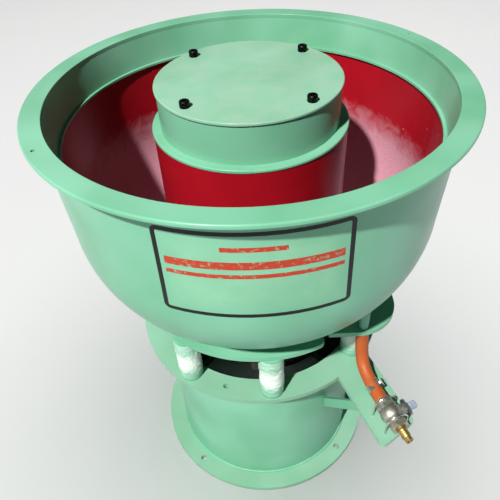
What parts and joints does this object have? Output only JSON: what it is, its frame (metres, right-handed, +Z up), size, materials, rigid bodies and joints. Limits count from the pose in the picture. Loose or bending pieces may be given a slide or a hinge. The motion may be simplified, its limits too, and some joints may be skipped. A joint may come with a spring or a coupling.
{
  "type": "vibratory rock tumbler",
  "caption": "Bowl tumbler with polyurethane-lined annular trough on coil springs over a flanged pedestal, vertical-shaft vibration motor, eccentric weights and drain valve.",
  "frame": {"origin": "centre of the foot flange's bolt circle, on its underside", "axes": "+Z up along the machine's vertical axis, -Y towards the painted panel at the front, drain valve on the front right"},
  "size_m": [0.5599, 0.563, 0.715],
  "materials": {
    "mint_paint": "gloss sprayed enamel",
    "red_polyurethane": "glossy cast polyurethane",
    "black_oxide": "black oxide screws",
    "sleeve_wrap": "crinkled sleeve with overspray",
    "spring_steel": "drawn spring steel",
    "orange_hose": "matt rubber hose",
    "nickel_plate": "satin nickel plate",
    "stainless": "stainless strip and wire",
    "brass": "turned brass",
    "handle_grey": "cast aluminium handle",
    "cast_iron": "machined and primed",
    "motor_grey": "grey enamel",
    "lamination_steel": "stacked laminations",
    "copper_winding": "varnished copper winding",
    "bearing_steel": "ground bearing steel",
    "shaft_steel": "turned steel",
    "zinc_steel": "zinc plated",
    "black_nylon": "moulded nylon"
  },
  "bodies": {
    "base": {"foot_flange": "mint_paint", "pedestal_shell": "mint_paint", "cable_gland": "black_nylon", "spring_ring": "mint_paint", "lower_spring_seats": "mint_paint", "spring_sleeve_1": "sleeve_wrap", "spring_sleeve_2": "sleeve_wrap", "spring_sleeve_3": "sleeve_wrap", "spring_sleeve_4": "sleeve_wrap", "spring_sleeve_5": "sleeve_wrap", "spring_sleeve_6": "sleeve_wrap", "spring_sleeve_7": "sleeve_wrap", "spring_sleeve_8": "sleeve_wrap", "coil_springs": "spring_steel", "valve_arm": "mint_paint", "arm_brace": "mint_paint", "drain_hose": "orange_hose", "hose_clamp_band": "stainless", "hose_clamp_screw": "stainless", "hose_tail": "nickel_plate", "valve_body": "nickel_plate", "valve_end_cap": "nickel_plate", "outlet_nozzle": "brass", "packing_nut": "nickel_plate", "valve_clips": "stainless", "clip_nuts": "zinc_steel"},
    "bowl": {"rim_flange": "mint_paint", "rim_collar": "mint_paint", "bowl_shell": "mint_paint", "bowl_lining": "red_polyurethane", "drain_strainer": "stainless", "drain_spigot": "mint_paint", "shoe_front": "mint_paint", "shoe_right": "mint_paint", "shoe_rear": "mint_paint", "shoe_left": "mint_paint", "upper_spring_seats": "mint_paint", "motor_mount_ring": "mint_paint", "centre_column": "mint_paint", "column_ledge": "mint_paint", "column_cap": "mint_paint", "cover_plate": "mint_paint", "cover_bolts": "black_oxide", "motor_flange": "cast_iron", "motor_bolts": "zinc_steel", "motor_frame": "motor_grey", "motor_top_shield": "motor_grey", "stator_core": "lamination_steel", "stator_windings": "copper_winding", "bearing_outer_rings": "bearing_steel"},
    "rotor": {"motor_shaft": "shaft_steel", "rotor_core": "lamination_steel", "upper_weight": "cast_iron", "lower_weight": "cast_iron", "shaft_collars": "shaft_steel", "bearing_inner_rings": "bearing_steel"},
    "trim_weight_body": {"trim_weight": "cast_iron"},
    "valve_key": {"valve_ball": "nickel_plate", "valve_stem": "nickel_plate", "valve_handle": "handle_grey"}
  },
  "joints": [
    {"name": "bowl_float", "type": "slide", "parent": "base", "child": "bowl", "axis": [0, 0, 1], "range_m": [-0.006, 0.006], "stiffness_N_per_m": 36000, "springref_m": 0.02291, "deforming": ["spring_sleeve_1", "spring_sleeve_2", "spring_sleeve_3", "spring_sleeve_4", "spring_sleeve_5", "spring_sleeve_6", "spring_sleeve_7", "spring_sleeve_8", "coil_springs", "drain_hose"]},
    {"name": "rotor_spin", "type": "hinge", "parent": "bowl", "child": "rotor", "pos_m": [0, 0, 0.49], "axis": [0, 0, 1], "continuous": true},
    {"name": "trim_weight_set", "type": "hinge", "parent": "rotor", "child": "trim_weight_body", "pos_m": [0, 0, 0.292], "axis": [0, 0, 1], "range_deg": [0, 90]},
    {"name": "drain_valve_turn", "type": "hinge", "parent": "base", "child": "valve_key", "pos_m": [0.17474, -0.23894, 0.3135], "axis": [0.9367, 0.3502, 0], "range_deg": [0, 90]}
  ]
}
